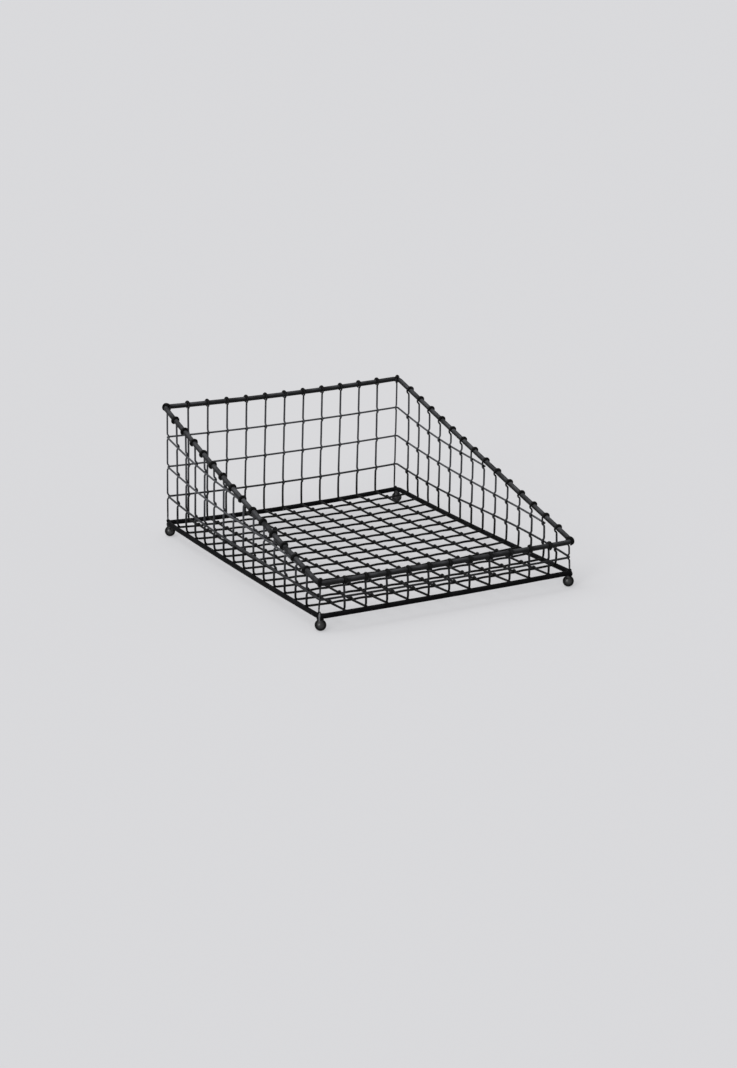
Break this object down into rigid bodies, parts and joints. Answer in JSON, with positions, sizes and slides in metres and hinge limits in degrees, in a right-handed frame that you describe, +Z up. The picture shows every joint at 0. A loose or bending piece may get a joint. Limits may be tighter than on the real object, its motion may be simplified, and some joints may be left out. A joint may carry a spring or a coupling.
{
  "type": "letter tray",
  "caption": "Black wire mesh letter tray with a high back, straight sloping sides, a low front and ball feet.",
  "frame": {"origin": "middle of the tray's box, on the surface that its feet rest on", "axes": "+X to the right as seen from the low front, +Y from the low front to the high back, +Z up"},
  "size_m": [0.2728, 0.3388, 0.1369],
  "materials": {
    "rod_paint": "semi-gloss black paint on steel rod",
    "wire_paint": "semi-gloss black paint on thin steel wire",
    "foot_paint": "semi-gloss black paint on steel balls"
  },
  "bodies": {
    "root": {"rim_rod": "rod_paint", "base_frame_rod": "rod_paint", "long_wire_01": "wire_paint", "long_wire_02": "wire_paint", "long_wire_03": "wire_paint", "long_wire_04": "wire_paint", "long_wire_05": "wire_paint", "long_wire_06": "wire_paint", "long_wire_07": "wire_paint", "long_wire_08": "wire_paint", "long_wire_09": "wire_paint", "long_wire_10": "wire_paint", "long_wire_11": "wire_paint", "cross_wire_01": "wire_paint", "cross_wire_02": "wire_paint", "cross_wire_03": "wire_paint", "cross_wire_04": "wire_paint", "cross_wire_05": "wire_paint", "cross_wire_06": "wire_paint", "cross_wire_07": "wire_paint", "cross_wire_08": "wire_paint", "cross_wire_09": "wire_paint", "cross_wire_10": "wire_paint", "cross_wire_11": "wire_paint", "cross_wire_12": "wire_paint", "cross_wire_13": "wire_paint", "cross_wire_14": "wire_paint", "ring_wire_low": "wire_paint", "ring_wire_mid": "wire_paint", "ring_wire_high": "wire_paint", "corner_post_front_left": "wire_paint", "corner_post_front_right": "wire_paint", "corner_post_back_left": "wire_paint", "corner_post_back_right": "wire_paint", "foot_front_left": "foot_paint", "foot_front_right": "foot_paint", "foot_back_left": "foot_paint", "foot_back_right": "foot_paint"}
  },
  "joints": []
}
